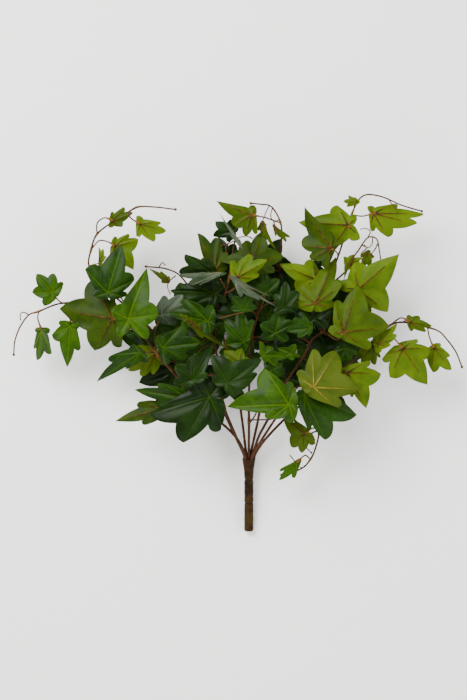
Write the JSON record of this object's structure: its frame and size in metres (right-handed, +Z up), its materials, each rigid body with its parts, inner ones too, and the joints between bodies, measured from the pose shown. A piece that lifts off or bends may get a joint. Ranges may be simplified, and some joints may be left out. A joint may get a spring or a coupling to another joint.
{
  "type": "artificial ivy bush",
  "caption": "Artificial ivy bush lying on its back: a ringed stem, wired trailing vines with leaf stalks, and pressed five-lobed leaves.",
  "frame": {"origin": "centre of the bottom of the bush's box, as it lies", "axes": "+X along the bush's width, +Y from the stem's end towards the leaves, +Z up from the surface it lies on"},
  "size_m": [0.5426, 0.4058, 0.1326],
  "materials": {
    "leaf_top": "printed fabric under a satin plastic film, yellow-green veins",
    "leaf_under": "matte moulded underside with raised brown veins",
    "vine_brown": "moulded plastic over wire, red-brown, matte",
    "stem_brown": "moulded plastic, mottled brown and olive"
  },
  "bodies": {
    "root": {"stem_pick": "stem_brown", "vine_far_left": "vine_brown", "vine_upper_left": "vine_brown", "vine_middle_left": "vine_brown", "vine_centre_left": "vine_brown", "vine_centre": "vine_brown", "vine_centre_arch": "vine_brown", "vine_upper_right": "vine_brown", "vine_lower_right": "vine_brown", "vine_hanging": "vine_brown", "leaf_far_left_1": "leaf_top", "leaf_far_left_2": "leaf_top", "leaf_far_left_3": "leaf_top", "leaf_left_1": "leaf_under", "leaf_left_2": "leaf_top", "leaf_left_3": "leaf_top", "leaf_left_4": "leaf_under", "leaf_left_5": "leaf_top", "leaf_left_6": "leaf_top", "leaf_left_7": "leaf_top", "leaf_upper_left_1": "leaf_under", "leaf_upper_left_2": "leaf_under", "leaf_upper_left_3": "leaf_under", "leaf_middle_left_1": "leaf_top", "leaf_middle_left_2": "leaf_top", "leaf_middle_left_3": "leaf_top", "leaf_middle_left_4": "leaf_top", "leaf_middle_left_5": "leaf_top", "leaf_middle_left_6": "leaf_under", "leaf_centre_left_1": "leaf_under", "leaf_centre_left_2": "leaf_under", "leaf_centre_left_3": "leaf_under", "leaf_centre_left_4": "leaf_top", "leaf_centre_left_5": "leaf_top", "leaf_centre_left_6": "leaf_top", "leaf_centre_1": "leaf_top", "leaf_centre_2": "leaf_top", "leaf_centre_3": "leaf_top", "leaf_centre_4": "leaf_top", "leaf_centre_5": "leaf_top", "leaf_arch_1": "leaf_under", "leaf_upper_right_1": "leaf_under", "leaf_upper_right_2": "leaf_under", "leaf_upper_right_3": "leaf_under", "leaf_upper_right_4": "leaf_under", "leaf_upper_right_5": "leaf_under", "leaf_upper_right_6": "leaf_under", "leaf_upper_right_7": "leaf_top", "leaf_upper_right_8": "leaf_under", "leaf_right_1": "leaf_under", "leaf_right_2": "leaf_under", "leaf_right_3": "leaf_under", "leaf_right_4": "leaf_under", "leaf_hanging_1": "leaf_under", "leaf_hanging_2": "leaf_top", "leaf_hanging_3": "leaf_under", "leaf_hanging_4": "leaf_top", "leaf_back_left": "leaf_top", "leaf_back_right": "leaf_top", "leaf_back_top": "leaf_top"}
  },
  "joints": []
}
